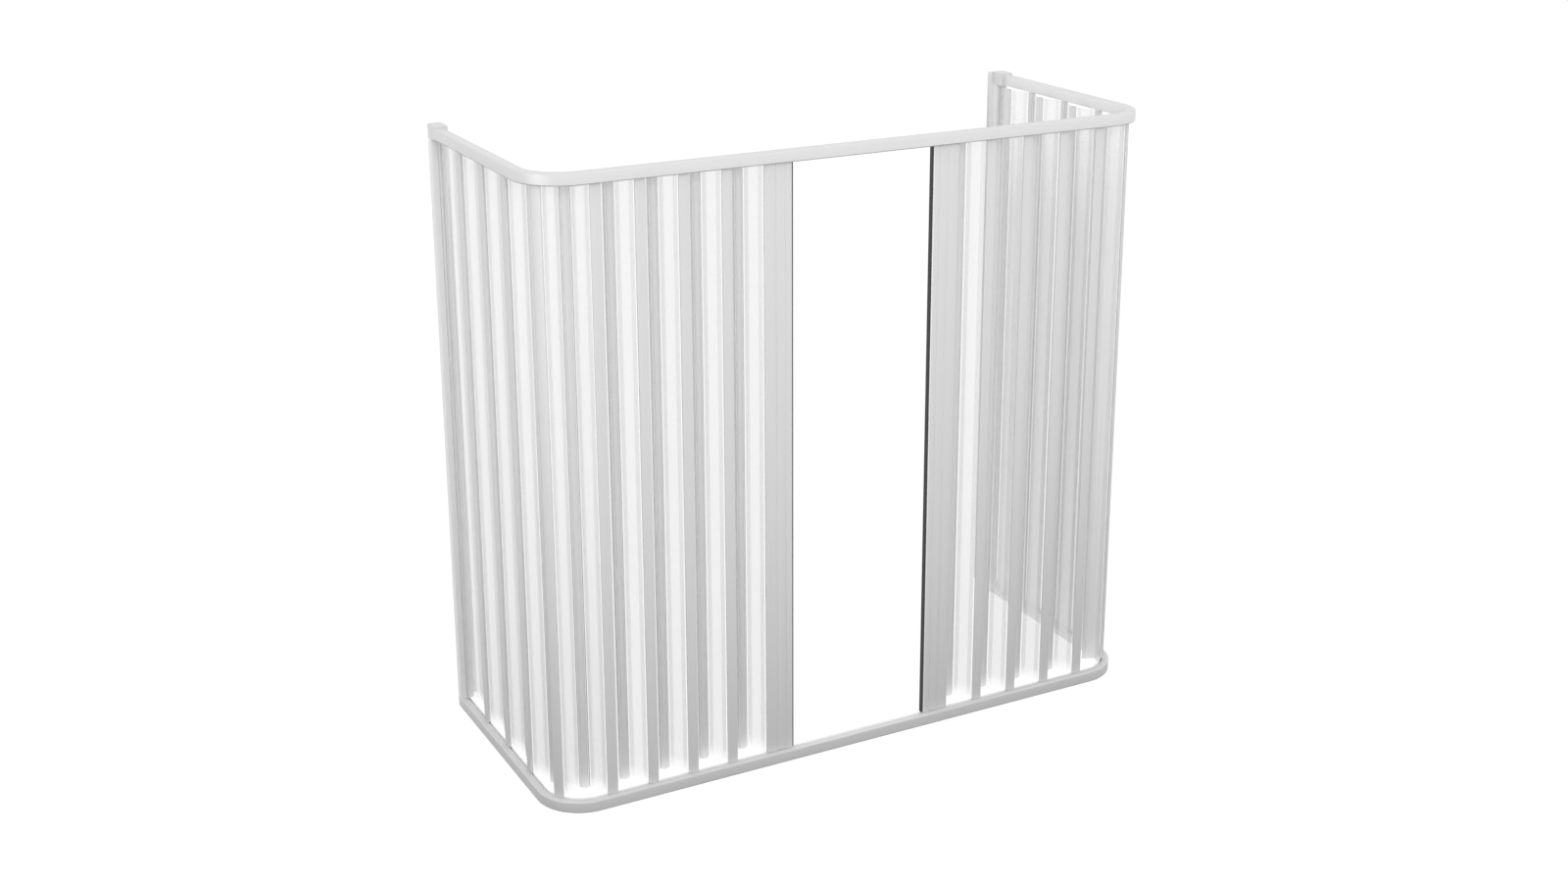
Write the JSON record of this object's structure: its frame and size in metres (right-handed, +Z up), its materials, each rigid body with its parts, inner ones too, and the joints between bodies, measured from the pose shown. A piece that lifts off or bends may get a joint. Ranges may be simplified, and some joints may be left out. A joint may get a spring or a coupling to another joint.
{
  "type": "folding bath screen",
  "caption": "U-shaped folding bath screen: translucent bellows panels between white posts glide in bent top and bottom rails and open at the middle of the front.",
  "frame": {"origin": "the middle of the footprint, at the underside of the bottom rail", "axes": "+Z is up, +Y points to the wall that the jambs are screwed to, and +X runs along the front, to the right as seen from outside"},
  "size_m": [1.615, 0.66, 1.506],
  "materials": {
    "rail_white": "white satin bent rail",
    "jamb_white": "white satin extrusion",
    "block_white": "white moulded block",
    "post_white": "white satin extrusion",
    "panel_clear": "translucent milky plastic",
    "glider_nylon": "natural nylon",
    "seal_black": "black soft seal",
    "magnet_dark": "dark magnet bar"
  },
  "bodies": {
    "frame": {"bottom_rail": "rail_white", "top_rail": "rail_white", "left_wall_jamb": "jamb_white", "left_jamb_hinge": "post_white", "left_end_block": "block_white", "left_side_posts": "post_white", "left_side_panels": "panel_clear", "left_side_back_strips": "post_white", "left_side_gliders": "glider_nylon", "right_wall_jamb": "jamb_white", "right_jamb_hinge": "post_white", "right_end_block": "block_white", "right_side_posts": "post_white", "right_side_panels": "panel_clear", "right_side_back_strips": "post_white", "right_side_gliders": "glider_nylon"},
    "left_panel_1": {"left_panel_1": "panel_clear"},
    "left_back_strip_1": {"left_back_strip_1": "post_white"},
    "left_panel_2": {"left_panel_2": "panel_clear"},
    "left_post_2": {"left_post_2": "post_white", "left_post_2_gliders": "glider_nylon"},
    "left_panel_3": {"left_panel_3": "panel_clear"},
    "left_back_strip_2": {"left_back_strip_2": "post_white"},
    "left_panel_4": {"left_panel_4": "panel_clear"},
    "left_post_3": {"left_post_3": "post_white", "left_post_3_gliders": "glider_nylon"},
    "left_panel_5": {"left_panel_5": "panel_clear"},
    "left_back_strip_3": {"left_back_strip_3": "post_white"},
    "left_panel_6": {"left_panel_6": "panel_clear"},
    "left_post_4": {"left_post_4": "post_white", "left_post_4_gliders": "glider_nylon"},
    "left_panel_7": {"left_panel_7": "panel_clear"},
    "left_back_strip_4": {"left_back_strip_4": "post_white"},
    "left_panel_8": {"left_panel_8": "panel_clear"},
    "left_closing_stile": {"left_closing_stile": "post_white", "left_stile_gliders": "glider_nylon", "left_magnetic_seal": "seal_black", "left_magnet_bar": "magnet_dark"},
    "right_panel_1": {"right_panel_1": "panel_clear"},
    "right_back_strip_1": {"right_back_strip_1": "post_white"},
    "right_panel_2": {"right_panel_2": "panel_clear"},
    "right_post_2": {"right_post_2": "post_white", "right_post_2_gliders": "glider_nylon"},
    "right_panel_3": {"right_panel_3": "panel_clear"},
    "right_back_strip_2": {"right_back_strip_2": "post_white"},
    "right_panel_4": {"right_panel_4": "panel_clear"},
    "right_post_3": {"right_post_3": "post_white", "right_post_3_gliders": "glider_nylon"},
    "right_panel_5": {"right_panel_5": "panel_clear"},
    "right_back_strip_3": {"right_back_strip_3": "post_white"},
    "right_panel_6": {"right_panel_6": "panel_clear"},
    "right_post_4": {"right_post_4": "post_white", "right_post_4_gliders": "glider_nylon"},
    "right_panel_7": {"right_panel_7": "panel_clear"},
    "right_back_strip_4": {"right_back_strip_4": "post_white"},
    "right_panel_8": {"right_panel_8": "panel_clear"},
    "right_closing_stile": {"right_closing_stile": "post_white", "right_stile_gliders": "glider_nylon", "right_magnetic_seal": "seal_black", "right_magnet_bar": "magnet_dark"}
  },
  "joints": [
    {"name": "left_fold", "type": "hinge", "parent": "frame", "child": "left_panel_1", "pos_m": [-0.6479, -0.311, 0.75], "axis": [0, 0, 1], "range_deg": [-37.4, 38.06]},
    {"name": "left_back_strip_1_hinge", "type": "hinge", "parent": "left_panel_1", "child": "left_back_strip_1", "pos_m": [-0.6141, -0.26215, 0.75], "axis": [0, 0, 1], "range_deg": [-38.06, 37.4]},
    {"name": "left_panel_2_hinge", "type": "hinge", "parent": "left_back_strip_1", "child": "left_panel_2", "pos_m": [-0.5961, -0.26215, 0.75], "axis": [0, 0, 1], "range_deg": [-38.06, 37.4]},
    {"name": "left_post_2_hinge", "type": "hinge", "parent": "left_panel_2", "child": "left_post_2", "pos_m": [-0.5623, -0.311, 0.75], "axis": [0, 0, 1], "range_deg": [-37.4, 38.06]},
    {"name": "left_panel_3_hinge", "type": "hinge", "parent": "left_post_2", "child": "left_panel_3", "pos_m": [-0.5443, -0.311, 0.75], "axis": [0, 0, 1], "range_deg": [-37.4, 38.06]},
    {"name": "left_back_strip_2_hinge", "type": "hinge", "parent": "left_panel_3", "child": "left_back_strip_2", "pos_m": [-0.5105, -0.26215, 0.75], "axis": [0, 0, 1], "range_deg": [-38.06, 37.4]},
    {"name": "left_panel_4_hinge", "type": "hinge", "parent": "left_back_strip_2", "child": "left_panel_4", "pos_m": [-0.4925, -0.26215, 0.75], "axis": [0, 0, 1], "range_deg": [-38.06, 37.4]},
    {"name": "left_post_3_hinge", "type": "hinge", "parent": "left_panel_4", "child": "left_post_3", "pos_m": [-0.4587, -0.311, 0.75], "axis": [0, 0, 1], "range_deg": [-37.4, 38.06]},
    {"name": "left_panel_5_hinge", "type": "hinge", "parent": "left_post_3", "child": "left_panel_5", "pos_m": [-0.4407, -0.311, 0.75], "axis": [0, 0, 1], "range_deg": [-37.4, 38.06]},
    {"name": "left_back_strip_3_hinge", "type": "hinge", "parent": "left_panel_5", "child": "left_back_strip_3", "pos_m": [-0.4069, -0.26215, 0.75], "axis": [0, 0, 1], "range_deg": [-38.06, 37.4]},
    {"name": "left_panel_6_hinge", "type": "hinge", "parent": "left_back_strip_3", "child": "left_panel_6", "pos_m": [-0.3889, -0.26215, 0.75], "axis": [0, 0, 1], "range_deg": [-38.06, 37.4]},
    {"name": "left_post_4_hinge", "type": "hinge", "parent": "left_panel_6", "child": "left_post_4", "pos_m": [-0.3551, -0.311, 0.75], "axis": [0, 0, 1], "range_deg": [-37.4, 38.06]},
    {"name": "left_panel_7_hinge", "type": "hinge", "parent": "left_post_4", "child": "left_panel_7", "pos_m": [-0.3371, -0.311, 0.75], "axis": [0, 0, 1], "range_deg": [-37.4, 38.06]},
    {"name": "left_back_strip_4_hinge", "type": "hinge", "parent": "left_panel_7", "child": "left_back_strip_4", "pos_m": [-0.3033, -0.26215, 0.75], "axis": [0, 0, 1], "range_deg": [-38.06, 37.4]},
    {"name": "left_panel_8_hinge", "type": "hinge", "parent": "left_back_strip_4", "child": "left_panel_8", "pos_m": [-0.2853, -0.26215, 0.75], "axis": [0, 0, 1], "range_deg": [-38.06, 37.4]},
    {"name": "left_closing_stile_hinge", "type": "hinge", "parent": "left_panel_8", "child": "left_closing_stile", "pos_m": [-0.2515, -0.311, 0.75], "axis": [0, 0, 1], "range_deg": [-37.4, 38.06]},
    {"name": "right_fold", "type": "hinge", "parent": "frame", "child": "right_panel_1", "pos_m": [0.6479, -0.311, 0.75], "axis": [0, 0, -1], "range_deg": [-37.4, 38.06]},
    {"name": "right_back_strip_1_hinge", "type": "hinge", "parent": "right_panel_1", "child": "right_back_strip_1", "pos_m": [0.6141, -0.26215, 0.75], "axis": [0, 0, -1], "range_deg": [-38.06, 37.4]},
    {"name": "right_panel_2_hinge", "type": "hinge", "parent": "right_back_strip_1", "child": "right_panel_2", "pos_m": [0.5961, -0.26215, 0.75], "axis": [0, 0, -1], "range_deg": [-38.06, 37.4]},
    {"name": "right_post_2_hinge", "type": "hinge", "parent": "right_panel_2", "child": "right_post_2", "pos_m": [0.5623, -0.311, 0.75], "axis": [0, 0, -1], "range_deg": [-37.4, 38.06]},
    {"name": "right_panel_3_hinge", "type": "hinge", "parent": "right_post_2", "child": "right_panel_3", "pos_m": [0.5443, -0.311, 0.75], "axis": [0, 0, -1], "range_deg": [-37.4, 38.06]},
    {"name": "right_back_strip_2_hinge", "type": "hinge", "parent": "right_panel_3", "child": "right_back_strip_2", "pos_m": [0.5105, -0.26215, 0.75], "axis": [0, 0, -1], "range_deg": [-38.06, 37.4]},
    {"name": "right_panel_4_hinge", "type": "hinge", "parent": "right_back_strip_2", "child": "right_panel_4", "pos_m": [0.4925, -0.26215, 0.75], "axis": [0, 0, -1], "range_deg": [-38.06, 37.4]},
    {"name": "right_post_3_hinge", "type": "hinge", "parent": "right_panel_4", "child": "right_post_3", "pos_m": [0.4587, -0.311, 0.75], "axis": [0, 0, -1], "range_deg": [-37.4, 38.06]},
    {"name": "right_panel_5_hinge", "type": "hinge", "parent": "right_post_3", "child": "right_panel_5", "pos_m": [0.4407, -0.311, 0.75], "axis": [0, 0, -1], "range_deg": [-37.4, 38.06]},
    {"name": "right_back_strip_3_hinge", "type": "hinge", "parent": "right_panel_5", "child": "right_back_strip_3", "pos_m": [0.4069, -0.26215, 0.75], "axis": [0, 0, -1], "range_deg": [-38.06, 37.4]},
    {"name": "right_panel_6_hinge", "type": "hinge", "parent": "right_back_strip_3", "child": "right_panel_6", "pos_m": [0.3889, -0.26215, 0.75], "axis": [0, 0, -1], "range_deg": [-38.06, 37.4]},
    {"name": "right_post_4_hinge", "type": "hinge", "parent": "right_panel_6", "child": "right_post_4", "pos_m": [0.3551, -0.311, 0.75], "axis": [0, 0, -1], "range_deg": [-37.4, 38.06]},
    {"name": "right_panel_7_hinge", "type": "hinge", "parent": "right_post_4", "child": "right_panel_7", "pos_m": [0.3371, -0.311, 0.75], "axis": [0, 0, -1], "range_deg": [-37.4, 38.06]},
    {"name": "right_back_strip_4_hinge", "type": "hinge", "parent": "right_panel_7", "child": "right_back_strip_4", "pos_m": [0.3033, -0.26215, 0.75], "axis": [0, 0, -1], "range_deg": [-38.06, 37.4]},
    {"name": "right_panel_8_hinge", "type": "hinge", "parent": "right_back_strip_4", "child": "right_panel_8", "pos_m": [0.2853, -0.26215, 0.75], "axis": [0, 0, -1], "range_deg": [-38.06, 37.4]},
    {"name": "right_closing_stile_hinge", "type": "hinge", "parent": "right_panel_8", "child": "right_closing_stile", "pos_m": [0.2515, -0.311, 0.75], "axis": [0, 0, -1], "range_deg": [-37.4, 38.06]}
  ],
  "couplings": [
    {"joint": "left_back_strip_1_hinge", "follows": "left_fold", "ratio": -1},
    {"joint": "left_panel_2_hinge", "follows": "left_fold", "ratio": -1},
    {"joint": "left_post_2_hinge", "follows": "left_fold", "ratio": 1},
    {"joint": "left_panel_3_hinge", "follows": "left_fold", "ratio": 1},
    {"joint": "left_back_strip_2_hinge", "follows": "left_fold", "ratio": -1},
    {"joint": "left_panel_4_hinge", "follows": "left_fold", "ratio": -1},
    {"joint": "left_post_3_hinge", "follows": "left_fold", "ratio": 1},
    {"joint": "left_panel_5_hinge", "follows": "left_fold", "ratio": 1},
    {"joint": "left_back_strip_3_hinge", "follows": "left_fold", "ratio": -1},
    {"joint": "left_panel_6_hinge", "follows": "left_fold", "ratio": -1},
    {"joint": "left_post_4_hinge", "follows": "left_fold", "ratio": 1},
    {"joint": "left_panel_7_hinge", "follows": "left_fold", "ratio": 1},
    {"joint": "left_back_strip_4_hinge", "follows": "left_fold", "ratio": -1},
    {"joint": "left_panel_8_hinge", "follows": "left_fold", "ratio": -1},
    {"joint": "left_closing_stile_hinge", "follows": "left_fold", "ratio": 1},
    {"joint": "right_back_strip_1_hinge", "follows": "right_fold", "ratio": -1},
    {"joint": "right_panel_2_hinge", "follows": "right_fold", "ratio": -1},
    {"joint": "right_post_2_hinge", "follows": "right_fold", "ratio": 1},
    {"joint": "right_panel_3_hinge", "follows": "right_fold", "ratio": 1},
    {"joint": "right_back_strip_2_hinge", "follows": "right_fold", "ratio": -1},
    {"joint": "right_panel_4_hinge", "follows": "right_fold", "ratio": -1},
    {"joint": "right_post_3_hinge", "follows": "right_fold", "ratio": 1},
    {"joint": "right_panel_5_hinge", "follows": "right_fold", "ratio": 1},
    {"joint": "right_back_strip_3_hinge", "follows": "right_fold", "ratio": -1},
    {"joint": "right_panel_6_hinge", "follows": "right_fold", "ratio": -1},
    {"joint": "right_post_4_hinge", "follows": "right_fold", "ratio": 1},
    {"joint": "right_panel_7_hinge", "follows": "right_fold", "ratio": 1},
    {"joint": "right_back_strip_4_hinge", "follows": "right_fold", "ratio": -1},
    {"joint": "right_panel_8_hinge", "follows": "right_fold", "ratio": -1},
    {"joint": "right_closing_stile_hinge", "follows": "right_fold", "ratio": 1}
  ]
}
